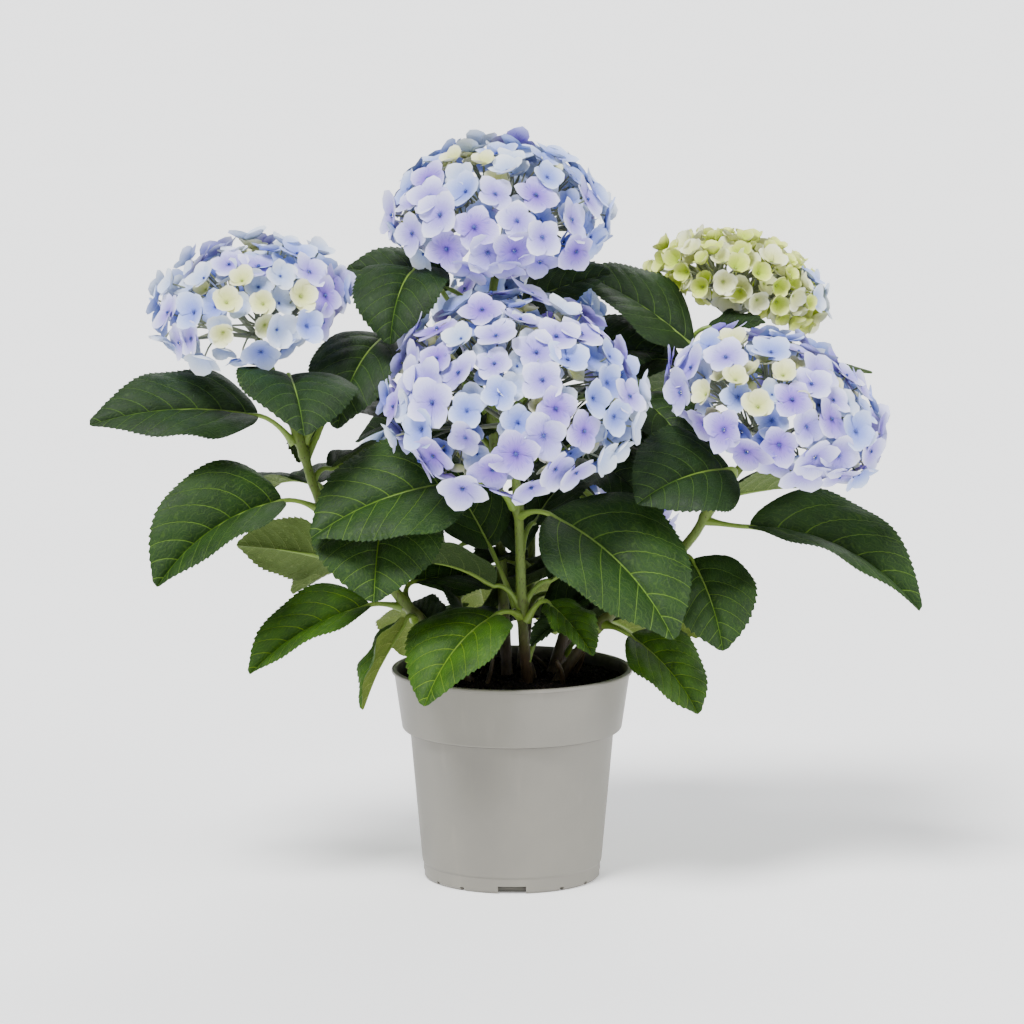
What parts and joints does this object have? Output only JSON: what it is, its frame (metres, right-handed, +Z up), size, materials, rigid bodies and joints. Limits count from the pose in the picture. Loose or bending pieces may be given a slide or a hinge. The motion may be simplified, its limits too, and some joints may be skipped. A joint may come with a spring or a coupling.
{
  "type": "potted hydrangea",
  "caption": "Mophead hydrangea in a round plastic nursery pot: leafy canes with large blue-lilac flower heads, and one still green.",
  "frame": {"origin": "middle of the pot's flat underside, on the pot's axis", "axes": "+Z up along the pot's axis; the front, with the widest flower head, is -Y; +X is to the right seen from the front"},
  "size_m": [0.6419, 0.4032, 0.582],
  "materials": {
    "pot": "satin",
    "soil": "matte",
    "stems": "satin",
    "leaves": "satin",
    "flowers": "matte",
    "young_flowers": "matte"
  },
  "bodies": {
    "root": {"cane_back_left": "stems", "cane_back_right": "stems", "cane_front": "stems", "cane_left": "stems", "cane_rear": "stems", "cane_right": "stems", "cane_top": "stems", "cane_young": "stems", "flowers_back_left": "flowers", "flowers_back_right": "flowers", "flowers_front": "flowers", "flowers_left": "flowers", "flowers_rear": "flowers", "flowers_right": "flowers", "flowers_top": "flowers", "flowers_young": "young_flowers", "leaf_back_left_1": "leaves", "leaf_back_left_2": "leaves", "leaf_back_left_3": "leaves", "leaf_back_right_1": "leaves", "leaf_back_right_2": "leaves", "leaf_back_right_3": "leaves", "leaf_front_1": "leaves", "leaf_front_2": "leaves", "leaf_front_3": "leaves", "leaf_front_4": "leaves", "leaf_front_5": "leaves", "leaf_left_1": "leaves", "leaf_left_10": "leaves", "leaf_left_11": "leaves", "leaf_left_2": "leaves", "leaf_left_3": "leaves", "leaf_left_4": "leaves", "leaf_left_5": "leaves", "leaf_left_6": "leaves", "leaf_left_7": "leaves", "leaf_left_8": "leaves", "leaf_left_9": "leaves", "leaf_rear_1": "leaves", "leaf_rear_2": "leaves", "leaf_rear_3": "leaves", "leaf_right_1": "leaves", "leaf_right_2": "leaves", "leaf_right_3": "leaves", "leaf_right_4": "leaves", "leaf_right_5": "leaves", "leaf_right_6": "leaves", "leaf_top_1": "leaves", "leaf_top_2": "leaves", "leaf_top_3": "leaves", "leaf_top_4": "leaves", "leaf_top_5": "leaves", "leaf_young_1": "leaves", "leaf_young_2": "leaves", "leaf_young_3": "leaves", "leaf_young_4": "leaves", "leaf_young_5": "leaves", "pot": "pot", "soil": "soil"}
  },
  "joints": []
}
